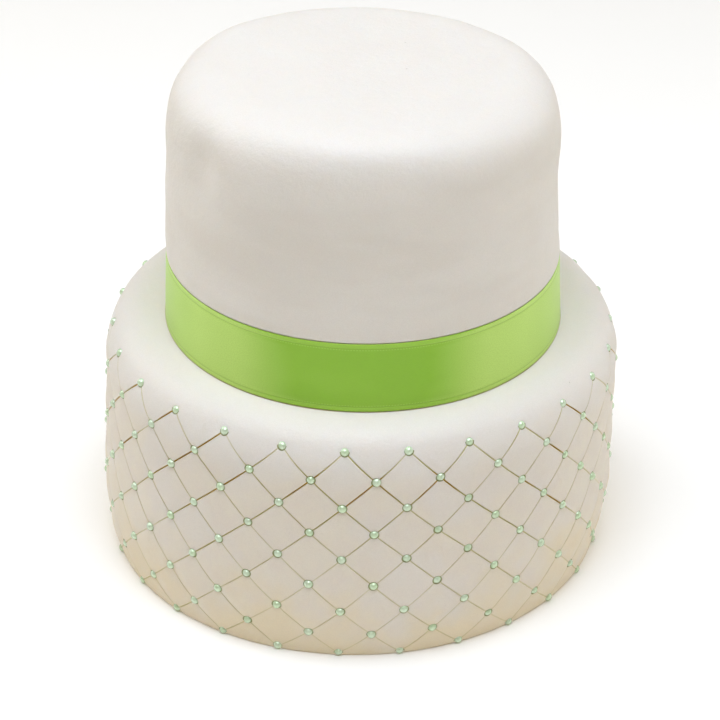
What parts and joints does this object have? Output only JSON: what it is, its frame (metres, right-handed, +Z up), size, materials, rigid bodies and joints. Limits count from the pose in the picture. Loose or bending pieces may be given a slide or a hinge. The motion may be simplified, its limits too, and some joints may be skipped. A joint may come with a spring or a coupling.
{
  "type": "tiered birthday cake",
  "caption": "Round tiered birthday cake in white rolled icing, with a diamond-quilted lower tier dotted with small pearls and a green satin ribbon round the plain upper tier.",
  "frame": {"origin": "middle of the footprint, on the surface that the cake stands on", "axes": "+Z up; the front of the cake, as pictured, faces -Y"},
  "size_m": [0.2106, 0.2106, 0.2082],
  "materials": {
    "icing_quilted": "soft matt rolled sugar icing",
    "icing_plain": "soft matt rolled sugar icing",
    "ribbon": "lime green satin",
    "pearls": "mint green pearl lustre"
  },
  "bodies": {
    "root": {"bottom_tier": "icing_quilted", "top_tier": "icing_plain", "ribbon": "ribbon"}
  },
  "joints": []
}
